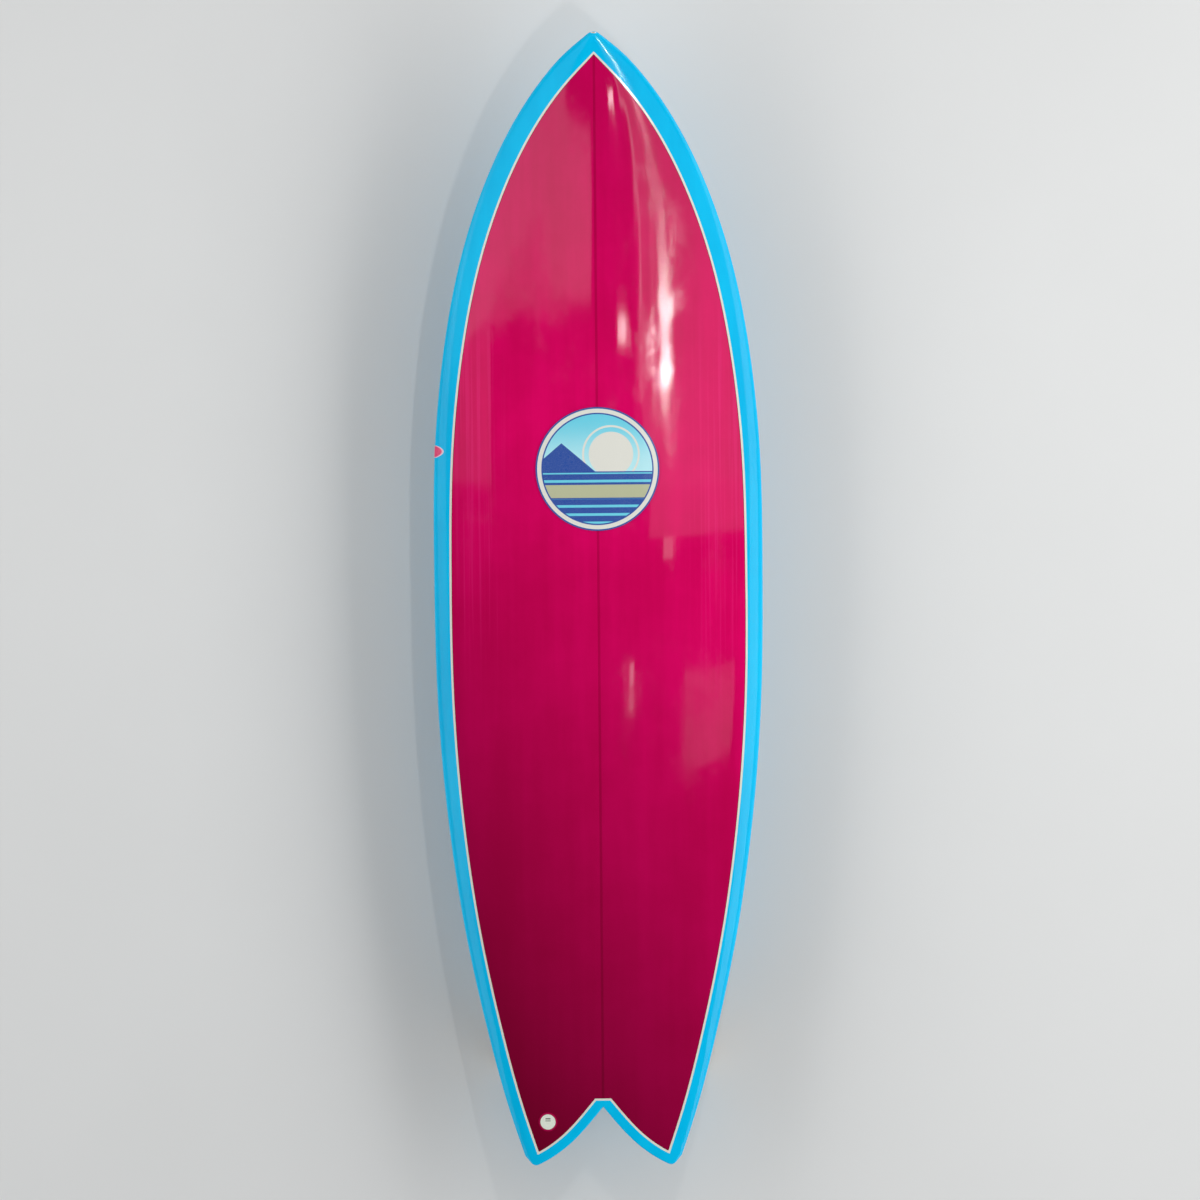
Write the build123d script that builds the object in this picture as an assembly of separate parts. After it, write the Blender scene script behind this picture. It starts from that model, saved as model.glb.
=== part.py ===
"""A fish surfboard: foam blank with a wooden stringer, resin-tinted glass on deck and bottom, a
leash plug in the port tail lobe and two keel fins held in screw boxes.

Frame: +Y to the nose, +X to starboard, +Z up from the deck. The origin is the middle of the flat
spot of the bottom, on the stringer, half way along the board. Millimetres throughout.
"""
import os
from math import cos, hypot, radians, sin, sqrt, tan

from build123d import *

# ---- overall sizes of the board
board_length = 1829
board_width = 533
board_thickness = 64
nose_thickness = 12
tail_thickness = 14
nose_rocker = 105
tail_rocker = 44
nose_rocker_power = 2.6    # a higher power keeps the middle flatter
tail_rocker_power = 2.2
flat_spot_depth = 0.8      # how far the rocker curve would dip below the flat spot
thickest_at = 50           # forward of half way
nose_foil = 1.25           # foil exponents: smaller keeps thickness further out
tail_foil = 0.85

# ---- outline template: share of the length from the nose, share of the half width
template = [
    (0.019, 0.179), (0.0367, 0.2915), (0.0721, 0.4645), (0.125, 0.650), (0.196, 0.817),
    (0.2845, 0.9355), (0.373, 0.991), (0.470, 1.0), (0.585, 0.986), (0.709, 0.915),
    (0.798, 0.822), (0.886, 0.690), (0.957, 0.556), (0.998, 0.460), (1.012, 0.426),
]
tail_taper = 0.36          # how fast the half width shrinks at the tail's end
nose_half_angle = 51
nose_blunt = 5.5           # half width of the very tip

# ---- sections of the loft: shares of the length from the nose, then even steps to past the tail
nose_stations = (0, 0.0077, 0.0186, 0.035, 0.0601, 0.0957, 0.1422, 0.2023, 0.2734, 0.3499, 0.4265)
aft_stations = 9
loft_overrun = 14

# ---- swallow tail
swallow_depth = 94
tip_half_spread = 105      # from the stringer to where a lobe's edge meets its rounded tip
swallow_mid = (47, 53)     # a point on the lobe's convex edge, out and aft of the crotch
swallow_angle = 50         # how steeply the lobe's edge leaves the crotch
tip_angle = 25             # how steeply that edge meets the tip
tip_corner_radius = 10
tip_corner_end = 50        # heading where the rounded tip meets the rail

# ---- rails
oval = 0.5523              # handle length that makes a quarter oval of a cubic curve
rail_apex_nose = 0.46      # height of the rail's edge, as a share of the thickness there
rail_apex_tail = 0.24
tuck_nose = 46             # width of the turned-under rail
tuck_tail = 13
tuck_limit = 0.62          # the tuck never takes more than this share of the half width
crown_handle = 0.62        # fullness of the deck's crown; a true oval is 0.5523

# ---- glass and wood
skin = 1.2
stringer_width = 4
lap_nose = 33              # width of the bottom glass lapped onto the deck
lap_mid = 25
lap_tail = 19.5
lap_nose_tip = 32
lap_stations = (0.045, 0.08, 0.125, 0.18, 0.26, 0.36, 0.47, 0.59, 0.71, 0.82, 0.91, 0.97, 1.01)
lap_swallow = 15.5
lap_crotch = 10.5
pinline_width = 4.2

# ---- deck emblem and rail sticker
emblem_diameter = 200
emblem_y = 211
sticker_diameter = 20
sticker_thickness = 0.3
sticker_y = 242

# ---- leash plug
plug_x, plug_y = -89.5, -844
plug_diameter = 27
plug_depth = 15.5
plug_rim = 0.4             # the cup's rim stands this proud of the deck
cup_wall = 3.75
cup_floor = 2.2
pin_diameter = 4
pin_below_rim = 5.4
pin_seat = 2.4             # how far each end of the pin reaches into the cup's wall
resin_gap = 1.6            # resin all round a potted fitting
cover_thickness = 0.7
cover_margin = 1.25        # how much of the cup's rim shows round the cover
cover_skirt = 3
cover_skirt_wall = 0.9
cover_clearance = 0.15
cover_seat_gap = 0.05

# ---- fin boxes and their screws
fin_from_tail = 220        # fin's middle, from the tail tips
fin_from_rail = 37
fin_toe = 2
fin_cant = 4
box_length = 128
box_width = 29
box_depth = 17
box_corner = 7
tab_length = 25
tab_thickness = 6.4
tab_depth = 12.7
tab_spacing = 84
tab_clearance = 0.15
slot_end_room = 0.6
slot_bottom_room = 1
screw_diameter = 5
screw_length = 7.5
screw_bore_clearance = 0.08
screw_angle = 45
screw_touch_depth = 6
screw_touch_gap = 0.05
screw_point = 0.35         # flat of the screw's blunt point
block_corner = 1           # rounding of the tabs and their slots
overrun = 4                # how far cut shapes run past the bottom
hex_key = 2.5
hex_depth = 2.4

# ---- keel fins
fin_base = 160
fin_depth = 128
fin_thickness = 9
fin_inner_face = 0.6       # flat inner face, beyond the tab's face
fin_edge = 1.2             # thickness of the trailing edge
fin_tip_ahead = 22         # front of the tip, ahead of the base's trailing end
fin_thin_out = 0.72        # share of its thickness that the fin loses from base to tip
fin_sweep_power = 1.35     # shape of the raked leading edge
fin_sweep_round = 0.8
fin_tip_back = 0.65        # how far the trailing edge comes forward at the tip, of fin_tip_ahead
fin_levels = (-0.06, 0.12, 0.28, 0.45, 0.62, 0.77, 0.89, 0.96, 0.995)
fin_base_gap = 0.3
halo = 9                   # clear glass beyond the plywood
core_levels = (0, 0.13, 0.3, 0.47, 0.645, 0.86)
fin_glass = 0.8

half_length = board_length / 2
nose_y = half_length
tail_y = -half_length
crotch_y = tail_y + swallow_depth
far = board_width


# ================================================================ outline
def outline_curve():
    """Starboard side of the plan, from the nose tip aft."""
    a = radians(nose_half_angle)
    points = [(nose_blunt, nose_y)] + [
        (share * board_width / 2, nose_y - along * board_length) for along, share in template
    ]
    return Spline(*points, tangents=[(sin(a), -cos(a)), (-tail_taper, -1)])


outline = outline_curve()
outline_start = outline @ 0


def half_width(y):
    """Half the board's width at y, by halving steps along the outline."""
    low, high = 0.0, 1.0
    for _ in range(30):
        middle = (low + high) / 2
        if (outline @ middle).Y > y:
            low = middle
        else:
            high = middle
    return (outline @ low).X


def outline_slope(y):
    """Change of half width along y."""
    step = 2
    ahead = min(y + step, nose_y)
    return (half_width(ahead) - half_width(ahead - step)) / step


# ================================================================ rocker, foil and rails
def bottom_line(y):
    """Height of the bottom over the stringer."""
    if y > 0:
        share, rocker, power = y / half_length, nose_rocker, nose_rocker_power
    else:
        share, rocker, power = -y / half_length, tail_rocker, tail_rocker_power
    return (rocker + flat_spot_depth) * share**power - flat_spot_depth


def thickness(y):
    """Thickness over the stringer."""
    if y > thickest_at:
        share, end, power = (y - thickest_at) / (nose_y - thickest_at), nose_thickness, nose_foil
    else:
        share, end, power = (thickest_at - y) / (thickest_at - tail_y), tail_thickness, tail_foil
    return end + (board_thickness - end) * max(1 - share**2, 0) ** power


def blend_aft(y, nose_value, tail_value):
    """A value that runs smoothly from the tail to the nose."""
    share = min(max((y - tail_y) / board_length, 0), 1)
    return tail_value + (nose_value - tail_value) * share * share * (3 - 2 * share)


def apex_height(y):
    return bottom_line(y) + thickness(y) * blend_aft(y, rail_apex_nose, rail_apex_tail)


def deck_height(x, y):
    """Height of the deck at any point inside the outline, along the crown's cubic curve."""
    low = apex_height(y)
    top = bottom_line(y) + thickness(y)
    share = min(abs(x) / half_width(y), 1)
    near, off = 0.0, 1.0
    for _ in range(30):
        t = (near + off) / 2
        across = 3 * (1 - t) ** 2 * t * crown_handle + 3 * (1 - t) * t**2 + t**3
        if across < share:
            near = t
        else:
            off = t
    return low + (top - low) * ((1 - t) ** 3 + 3 * (1 - t) ** 2 * t + 3 * (1 - t) * t**2 * oval)


def section(y, inset=0.0):
    """Closed section of the board across y, shrunk on all sides by inset."""
    lean = sqrt(1 + outline_slope(y) ** 2)
    half = half_width(y) - inset * lean
    top = bottom_line(y) + thickness(y) - inset
    low = bottom_line(y) + inset
    apex = apex_height(y)
    tuck = min(blend_aft(y, tuck_nose, tuck_tail) - inset, tuck_limit * half)

    def over(side):
        """Half of the deck's crown, from the stringer to the rail's apex."""
        return Bezier(
            (0, y, top),
            (side * half * crown_handle, y, top),
            (side * half, y, apex + oval * (top - apex)),
            (side * half, y, apex),
        )

    def under(side):
        """Turned-under rail, a quarter oval from the apex to the flat of the bottom."""
        drop = apex - low
        return Bezier(
            (side * half, y, apex),
            (side * half, y, apex - oval * drop),
            (side * (half - tuck + oval * tuck), y, low),
            (side * (half - tuck), y, low),
        )

    right, left = under(1), under(-1)
    flat = Line(right @ 1, left @ 1)
    return Wire([over(1), right, flat, left, over(-1)])


def stations(inset):
    """Places of the sections, from nose to beyond the tail."""
    places = [nose_y - inset - share * board_length for share in nose_stations]
    start, end = places[-1], tail_y - loft_overrun
    steps = range(1, aft_stations + 1)
    return places + [start + (end - start) * n / aft_stations for n in steps]


def body_loft(inset=0.0):
    return Solid.make_loft([section(y, inset) for y in stations(inset)])


# ================================================================ plan shapes
def upright(face):
    """A plan face made into a solid that passes right through the board."""
    return extrude(Pos(0, 0, -far) * face, 2 * far, dir=(0, 0, 1))


def both_sides(shape):
    return shape + mirror(shape, Plane.YZ)


def tail_zone(inset=0.0, bar=None):
    """Everything ahead of the swallow tail's edge, moved into the board by inset.

    With bar, the point of the fork is cut square that far ahead of the crotch, and the lobes' ends
    run straight out, as the lap line does.
    """
    a, b = radians(swallow_angle), radians(tip_angle)
    heading, tip_heading = Vector(cos(a), -sin(a)), Vector(cos(b), -sin(b))
    tip = (tip_half_spread, tail_y + tip_corner_radius * (1 - cos(b)))
    middle = (swallow_mid[0], crotch_y - swallow_mid[1])
    edge = Spline((0, crotch_y), middle, tip, tangents=[heading, tip_heading])
    moved = [
        edge @ u + Vector(-(edge % u).Y, (edge % u).X) * inset for u in (0, 0.25, 0.5, 0.75, 1)
    ]
    edge = Spline(*moved, tangents=[heading, tip_heading])
    start, end = edge @ 0, edge @ 1
    point = start.Y + start.X * tan(a)
    if bar is None:
        lead = [(0, point), start] if inset else [start]
        c = radians(tip_corner_end)
        radius = tip_corner_radius - inset
        turned = end + Vector(sin(b) + sin(c), cos(b) - cos(c)) * radius
        out = turned + Vector(cos(c), sin(c)) * far
        close = [TangentArc(end, turned, tangent=tip_heading), Line(turned, out)]
    else:
        square = crotch_y + bar
        lead = [(0, square), ((point - square) / tan(a), square), start]
        out = end + tip_heading * far
        close = [Line(end, out)]
    first = [Polyline(*lead)] if len(lead) > 1 else []
    back = Polyline(out, (out.X, nose_y + far), (0, nose_y + far), lead[0])
    return both_sides(upright(make_face(first + [edge] + close + [back])))


def lap_zone(extra=0.0):
    """Everything inside the lap line, moved further in by extra."""
    lead = extra / sin(radians(nose_half_angle))
    points = [(0, nose_y - lap_nose_tip - lead)]
    for share in lap_stations:
        y = nose_y - share * board_length
        slope = outline_slope(y)
        lean = hypot(1, slope)
        lap_end = lap_nose if y > 0 else lap_tail
        lap = lap_mid + (lap_end - lap_mid) * min(abs(y) / half_length, 1) + extra
        points.append((half_width(y) - lap / lean, y + lap * slope / lean))
    side = Spline(*points)
    end = side @ 1
    close = Polyline(end, (0, end.Y), points[0])
    whole = both_sides(upright(make_face([side, close])))
    return whole & tail_zone(lap_swallow + extra, lap_crotch + extra)


def deck_half():
    """Everything above the middle of the board's thickness."""
    between = [half_length * n / 4 for n in (3.5, 2, 1, -0.5, -2, -3)]
    places = [nose_y + loft_overrun] + between + [tail_y - loft_overrun]
    profile = Spline(*[(y, bottom_line(y) + thickness(y) / 2) for y in places])
    front, back = profile @ 0, profile @ 1
    close = Polyline(back, (back.X, far), (front.X, far), front)
    return extrude(Plane.YZ * make_face([profile, close]), far, both=True)


def box_between(low, high):
    size = [b - a for a, b in zip(low, high)]
    middle = [(a + b) / 2 for a, b in zip(low, high)]
    return Pos(*middle) * Box(*size)


def on_surface(x, y, height):
    """Frame on the deck or the bottom: origin on the surface, Z along its upward normal."""
    step = 2
    along_x = (height(x + step, y) - height(x - step, y)) / (2 * step)
    along_y = (height(x, y + step) - height(x, y - step)) / (2 * step)
    normal = Vector(-along_x, -along_y, 1)
    return Plane((x, y, height(x, y)), x_dir=(1, 0, along_x), z_dir=normal).location


# ================================================================ blank, stringer and glass
def board_solid(inset=0.0):
    above = box_between((-far, -board_length, inset), (far, board_length, far))
    return body_loft(inset) & tail_zone(inset) & above


outer = board_solid()
blank = board_solid(skin)
stringer_zone = box_between(
    (-stringer_width / 2, -board_length, -far), (stringer_width / 2, board_length, far)
)
glass = outer - blank
upper = deck_half()
inside_lap = lap_zone() & upper
inside_pinline = lap_zone(pinline_width) & upper
emblem_zone = Pos(0, emblem_y, board_thickness) * Cylinder(emblem_diameter / 2, board_thickness)

parts = {
    "stringer": blank & stringer_zone,
    "deck_laminate": (glass & inside_pinline) - emblem_zone,
    "deck_emblem": glass & inside_pinline & emblem_zone,
    "pinline": (glass & inside_lap) - inside_pinline,
    "bottom_laminate": glass - inside_lap,
}
foam = blank - stringer_zone


# ================================================================ leash plug
def upright_round(diameter, low, high):
    return Pos(0, 0, low) * Cylinder(
        diameter / 2, high - low, align=(Align.CENTER, Align.CENTER, Align.MIN)
    )


plug_frame = on_surface(plug_x, plug_y, deck_height)
cup_bore = plug_diameter - 2 * cup_wall
pin = Pos(0, 0, plug_rim - pin_below_rim) * Rot(0, 90, 0) * Cylinder(
    pin_diameter / 2, cup_bore + 2 * pin_seat
)
cup = upright_round(plug_diameter, plug_rim - plug_depth, plug_rim)
cup -= upright_round(cup_bore, plug_rim - plug_depth + cup_floor, plug_rim + 1)
cup -= pin
cover_low = plug_rim + cover_seat_gap
cover = upright_round(plug_diameter - 2 * cover_margin, cover_low, cover_low + cover_thickness)
skirt = upright_round(cup_bore - 2 * cover_clearance, cover_low - cover_skirt, cover_low)
skirt -= upright_round(
    cup_bore - 2 * (cover_clearance + cover_skirt_wall), cover_low - cover_skirt, cover_low
)
plug_pocket = upright_round(
    plug_diameter + 2 * resin_gap, plug_rim - plug_depth - resin_gap, board_thickness
)
parts["leash_plug_cup"] = plug_frame * cup
parts["leash_plug_pin"] = plug_frame * pin
parts["leash_plug_cover"] = plug_frame * (cover + skirt)
plug_pocket = plug_frame * plug_pocket
plug_body = plug_frame * upright_round(plug_diameter, plug_rim - plug_depth, board_thickness)
parts["leash_plug_resin"] = (plug_pocket & outer) - plug_body


# ================================================================ starboard fin box and screws
def fin_height(x, y):
    return bottom_line(y)


fin_y = tail_y + fin_from_tail
fin_x = half_width(fin_y) - fin_from_rail
flush_frame = on_surface(fin_x, fin_y, fin_height)
fin_frame = flush_frame * Rot(0, 0, fin_toe) * Rot(0, -fin_cant, 0)
tab_places = (tab_spacing / 2, -tab_spacing / 2)


def rounded_block(width, length, low, high, radius):
    plan = RectangleRounded(width, length, radius)
    return extrude(Pos(0, 0, low) * plan, high - low)


box_raw = rounded_block(box_width, box_length, -overrun, box_depth, box_corner)
pocket_raw = rounded_block(
    box_width + 2 * resin_gap,
    box_length + 2 * resin_gap,
    -overrun,
    box_depth + resin_gap,
    box_corner + resin_gap,
)

lean = radians(screw_angle)
screw_out = Vector(-sin(lean), 0, -cos(lean))
screw_tip = Vector(
    -tab_thickness / 2 - screw_touch_gap * sqrt(2),
    0,
    screw_touch_depth + screw_diameter / 2 * sqrt(2) / 2,
)


def along_screw(tab_y):
    """Frame at a screw's point, with Z running out along it."""
    return Plane(screw_tip + Vector(0, tab_y, 0), x_dir=(0, 1, 0), z_dir=screw_out).location


def grub_screw():
    radius = screw_diameter / 2
    point = Pos(0, 0, screw_point) * Cone(
        screw_point, radius, radius - screw_point, align=(Align.CENTER, Align.CENTER, Align.MIN)
    )
    body = upright_round(screw_diameter, radius, screw_length)
    socket = extrude(
        Pos(0, 0, screw_length - hex_depth)
        * RegularPolygon(hex_key / 2, 6, major_radius=False),
        hex_depth,
    )
    return point + body - socket


fin_box = box_raw
for tab_y in tab_places:
    slot = Pos(0, tab_y, 0) * rounded_block(
        tab_thickness + 2 * tab_clearance,
        tab_length + 2 * slot_end_room,
        -overrun,
        tab_depth + slot_bottom_room,
        block_corner,
    )
    bore = along_screw(tab_y) * upright_round(
        screw_diameter + 2 * screw_bore_clearance, 0, 4 * screw_length
    )
    fin_box = fin_box - slot - bore
fin_box_placed = (fin_frame * fin_box) & outer
fin_pocket = fin_frame * pocket_raw
fin_resin = (fin_pocket & outer) - fin_frame * box_raw


# ================================================================ starboard keel fin
def foil_thickness(share):
    """Thickness at a share of the chord from the leading edge, thickest at 30 percent."""
    return 10 * (
        0.2969 * sqrt(share)
        - 0.1260 * share
        - 0.3516 * share**2
        + 0.2843 * share**3
        - 0.1036 * share**4
    )


def fin_edges(depth_share):
    """Leading and trailing edge of the fin, along the chord, at a share of its depth."""
    drop = min(max(depth_share, 0), 1)
    tip_lead = fin_tip_ahead - fin_base / 2
    lead = tip_lead + (fin_base / 2 - tip_lead) * (1 - drop**fin_sweep_power) ** fin_sweep_round
    trail = -fin_base / 2 + fin_tip_ahead * fin_tip_back * drop**5
    return lead, trail


flat_side = tab_thickness / 2 + fin_inner_face


def foil(depth_share, trim=0.0, wall=0.0):
    """Closed foil section: flat inner side, curved outer side."""
    lead, trail = fin_edges(depth_share)
    chord = lead - trail
    thick = fin_thickness * (1 - fin_thin_out * max(depth_share, 0))
    z = -fin_depth * depth_share
    first, last = trim / chord, 1 - 1.5 * trim / chord
    points = []
    for n in range(7):
        share = first + (last - first) * (1 - cos(radians(90) * n / 6)) ** 1.1
        bulge = thick * foil_thickness(share) + fin_edge * share
        out = max(bulge - wall, wall + fin_edge / 4)
        points.append((out - flat_side, lead - chord * share, z))
    inner_lead = (wall - flat_side, points[0][1], z)
    inner_trail = (wall - flat_side, points[-1][1], z)
    corners = [points[-1], inner_trail, inner_lead, points[0]]
    straight = [Line(a, b) for a, b in zip(corners, corners[1:])]
    return Wire([Spline(*points)] + straight)


blade = Solid.make_loft([foil(level) for level in fin_levels])
core_start = 0.5 * halo / fin_depth
core = Solid.make_loft([foil(core_start + level, halo, fin_glass) for level in core_levels])
below = flush_frame * box_between((-far, -far, -far), (far, far, -fin_base_gap))
above = flush_frame * box_between((-far, -far, -fin_base_gap), (far, far, far))
blade = (fin_frame * blade) & below
core = (fin_frame * core) & below
fin = blade - core
for tab_y in tab_places:
    tab = rounded_block(tab_thickness, tab_length, -overrun, tab_depth, block_corner)
    fin += (fin_frame * Pos(0, tab_y, 0) * tab) & above

# ================================================================ place both sides
screws = {
    name: fin_frame * along_screw(tab_y) * grub_screw()
    for name, tab_y in zip(("front", "rear"), tab_places)
}
one_side = {
    "fin_box": fin_box_placed,
    "fin_box_resin": fin_resin,
    "keel_fin": fin,
    "keel_core": core,
    "fin_screw_front": screws["front"],
    "fin_screw_rear": screws["rear"],
}
for name, shape in one_side.items():
    parts[name + "_right"] = shape
    parts[name + "_left"] = mirror(shape, Plane.YZ)

pockets = fin_pocket + mirror(fin_pocket, Plane.YZ)
parts["bottom_laminate"] -= pockets
parts["deck_laminate"] -= plug_pocket
foam = foam - pockets - plug_pocket
for side in foam.solids():
    parts["foam_core_right" if side.center().X > 0 else "foam_core_left"] = side

# ================================================================ rail sticker
sticker_zone = (
    Pos(-half_width(sticker_y), sticker_y, apex_height(sticker_y) + 3)
    * Rot(0, 90, 0)
    * Cylinder(sticker_diameter / 2, 2 * sticker_diameter)
)
parts["rail_sticker"] = (body_loft(-sticker_thickness) & sticker_zone) - outer

os.makedirs("parts", exist_ok=True)
for name, shape in parts.items():
    export_step(shape, f"parts/{name}.step")
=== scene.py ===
"""A fish surfboard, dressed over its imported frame.

+Y to the nose, +X to starboard, +Z up from the deck. Metres, except that the board's lines are
drawn in millimetres, as a shaper writes them, and scaled as each mesh is made.
"""
from math import cos, pi, radians, sin, tan

import bmesh
import bpy
import numpy as np
from mathutils import Matrix, Vector


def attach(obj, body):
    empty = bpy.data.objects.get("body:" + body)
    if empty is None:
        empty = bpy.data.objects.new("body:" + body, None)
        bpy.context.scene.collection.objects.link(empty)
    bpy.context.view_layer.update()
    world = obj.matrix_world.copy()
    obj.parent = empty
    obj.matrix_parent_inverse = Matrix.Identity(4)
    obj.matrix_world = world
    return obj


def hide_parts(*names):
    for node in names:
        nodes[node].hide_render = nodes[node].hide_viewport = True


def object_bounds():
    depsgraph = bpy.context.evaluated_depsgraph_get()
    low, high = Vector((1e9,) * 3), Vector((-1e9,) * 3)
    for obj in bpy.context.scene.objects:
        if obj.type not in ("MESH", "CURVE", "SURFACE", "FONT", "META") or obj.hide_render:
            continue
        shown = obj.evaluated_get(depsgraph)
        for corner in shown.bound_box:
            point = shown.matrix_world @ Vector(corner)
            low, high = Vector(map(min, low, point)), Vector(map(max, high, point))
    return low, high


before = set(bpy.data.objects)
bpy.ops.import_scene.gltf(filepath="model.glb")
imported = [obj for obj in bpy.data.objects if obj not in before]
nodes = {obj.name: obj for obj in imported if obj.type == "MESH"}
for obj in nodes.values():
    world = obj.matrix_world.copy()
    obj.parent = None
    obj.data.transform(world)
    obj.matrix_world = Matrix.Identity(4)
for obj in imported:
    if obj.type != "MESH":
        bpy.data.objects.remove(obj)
cad_box = [list(corner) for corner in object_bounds()]

# ================================================================ blank: foam and stringer
# The core is two halves of closed-cell polyurethane foam glued to a thin basswood stringer, then
# shaped as one. Fresh foam is chalky white with fine cells; the stringer has straight, close grain.


def add(tree, kind, inputs=None, **settings):
    """A node of that kind, with its settings and the inputs given as values or as links."""
    made = tree.nodes.new("ShaderNode" + kind)
    for name, value in settings.items():
        setattr(made, name, value)
    for name, value in (inputs or {}).items():
        socket = made.inputs[name]
        if isinstance(value, bpy.types.NodeSocket):
            tree.links.new(value, socket)
        else:
            socket.default_value = value
    return made


def math(tree, operation, *values):
    return add(tree, "Math", dict(enumerate(values)), operation=operation).outputs[0]


def ramp(tree, value, low, high, to_low=0.0, to_high=1.0, curve="SMOOTHSTEP"):
    """Runs from to_low at low to to_high at high."""
    return add(
        tree, "MapRange",
        {"Value": value, "From Min": low, "From Max": high, "To Min": to_low, "To Max": to_high},
        interpolation_type=curve,
    ).outputs[0]


def blend(tree, share, first, second, mode="MIX"):
    """Two colours mixed by a share."""
    made = add(tree, "Mix", data_type="RGBA", blend_type=mode)
    for socket, value in zip((made.inputs[0], made.inputs[6], made.inputs[7]),
                             (share, first, second)):
        if isinstance(value, bpy.types.NodeSocket):
            tree.links.new(value, socket)
        else:
            socket.default_value = value
    return made.outputs[2]


def place(tree):
    """The surface point, in metres in the board's own frame."""
    return add(tree, "TexCoord").outputs["Object"]


def stretched(tree, point, x, y, z):
    return add(tree, "VectorMath", {0: point, 1: (x, y, z)}, operation="MULTIPLY").outputs[0]


def noise(tree, point, scale, detail=4.0, roughness=0.55):
    made = add(tree, "TexNoise",
               {"Vector": point, "Scale": scale, "Detail": detail, "Roughness": roughness})
    return made.outputs["Fac"]


def new_finish(name, **constants):
    """A material with its shader, the constants set on the shader's own sockets."""
    made = bpy.data.materials.new(name)
    made.use_nodes = True
    shader = made.node_tree.nodes["Principled BSDF"]
    for socket, value in constants.items():
        shader.inputs[socket.replace("_", " ")].default_value = value
    return made, made.node_tree, shader


def feed(tree, shader, **sockets):
    for socket, value in sockets.items():
        tree.links.new(value, shader.inputs[socket.replace("_", " ")])


def relief(tree, shader, height, distance, strength=1.0):
    """Raises the surface by height times distance, in metres."""
    bump = add(tree, "Bump", {"Height": height, "Distance": distance, "Strength": strength})
    feed(tree, shader, Normal=bump.outputs[0])


def dress(material, *names):
    """Gives carried-over pieces their finish."""
    for name in names:
        for slot in nodes[name].material_slots:
            slot.material = material


def group(name, inputs, outputs):
    """An empty node group with these named values."""
    made = bpy.data.node_groups.new(name, "ShaderNodeTree")
    for label, default in inputs.items():
        socket = made.interface.new_socket(label, in_out="INPUT", socket_type="NodeSocketFloat")
        socket.default_value = default
    for label, kind in outputs.items():
        made.interface.new_socket(label, in_out="OUTPUT", socket_type="NodeSocket" + kind)
    source = made.nodes.new("NodeGroupInput")
    sink = made.nodes.new("NodeGroupOutput")
    return made, source.outputs, sink.inputs


def use(tree, kind, **inputs):
    """One placed copy of a node group."""
    made = tree.nodes.new("ShaderNodeGroup")
    made.node_tree = kind
    for label, value in inputs.items():
        socket = made.inputs[label.replace("_", " ")]
        if isinstance(value, bpy.types.NodeSocket):
            tree.links.new(value, socket)
        else:
            socket.default_value = value
    return made.outputs


# straight grain along the board, as in sawn or sliced wood
wood_grain, given, out = group(
    "wood_grain", {"Fineness": 500.0, "Length": 6.0, "Contrast": 0.5}, {"Grain": "Float"}
)
tree = wood_grain
across = add(tree, "CombineXYZ", {0: given["Fineness"], 1: given["Length"], 2: given["Fineness"]})
lines = add(tree, "VectorMath", {0: place(tree), 1: across.outputs[0]}, operation="MULTIPLY")
fibre = noise(tree, lines.outputs[0], 1.0, 5.0, 0.6)
bands = noise(tree, stretched(tree, place(tree), 60, 1.2, 60), 1.0, 2.0)
mixed = math(tree, "ADD", math(tree, "MULTIPLY", fibre, 0.65), math(tree, "MULTIPLY", bands, 0.35))
centred = math(tree, "MULTIPLY", math(tree, "SUBTRACT", mixed, 0.5), given["Contrast"])
tree.links.new(math(tree, "ADD", math(tree, "MULTIPLY", centred, 2.0), 0.5), out["Grain"])

foam_finish, tree, shader = new_finish("foam_finish", Roughness=0.9)
cells = noise(tree, place(tree), 2500.0, 2.0)
cloud = noise(tree, place(tree), 9.0, 3.0)
chalk = blend(tree, cloud, (0.86, 0.84, 0.78, 1), (0.93, 0.92, 0.88, 1))
feed(tree, shader, Base_Color=blend(tree, ramp(tree, cells, 0.35, 0.6), (0.74, 0.72, 0.66, 1), chalk))
relief(tree, shader, cells, 0.0002)
dress(foam_finish, "foam_core_left", "foam_core_right")

stringer_finish, tree, shader = new_finish("stringer_finish", Roughness=0.55)
grain = use(tree, wood_grain, Fineness=700.0, Length=5.0, Contrast=0.8)["Grain"]
feed(tree, shader,
     Base_Color=blend(tree, grain, (0.42, 0.26, 0.13, 1), (0.74, 0.55, 0.33, 1)))
relief(tree, shader, grain, 0.00015)
dress(stringer_finish, "stringer")

# ================================================================ bottom laminate and its lap
# Glass cloth set in blue-tinted polyester resin. It covers the bottom, wraps the rail and is cut to
# a clean line on the deck, and it runs round both lobes of the swallow tail. Gloss coat over all.
BOARD_LENGTH, BOARD_WIDTH, BOARD_THICKNESS = 1829, 533, 64
NOSE_THICKNESS, TAIL_THICKNESS = 12, 14
NOSE_ROCKER, TAIL_ROCKER, FLAT_SPOT = 105, 44, 0.8
NOSE_POWER, TAIL_POWER = 2.6, 2.2
THICKEST_AT, NOSE_FOIL, TAIL_FOIL = 50, 1.25, 0.85
TEMPLATE = [
    (0.019, 0.179), (0.0367, 0.2915), (0.0721, 0.4645), (0.125, 0.650), (0.196, 0.817),
    (0.2845, 0.9355), (0.373, 0.991), (0.470, 1.0), (0.585, 0.986), (0.709, 0.915),
    (0.798, 0.822), (0.886, 0.690), (0.957, 0.556), (0.998, 0.460), (1.012, 0.426),
]
NOSE_ANGLE, NOSE_BLUNT, TAIL_TAPER = radians(51), 5.5, 0.36
SWALLOW_DEPTH, TIP_HALF_SPREAD, SWALLOW_MID = 94, 105, (47, 53)
SWALLOW_ANGLE, TIP_ANGLE = radians(50), radians(25)
TIP_CORNER_RADIUS, TIP_CORNER_END = 10, radians(50)
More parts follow.
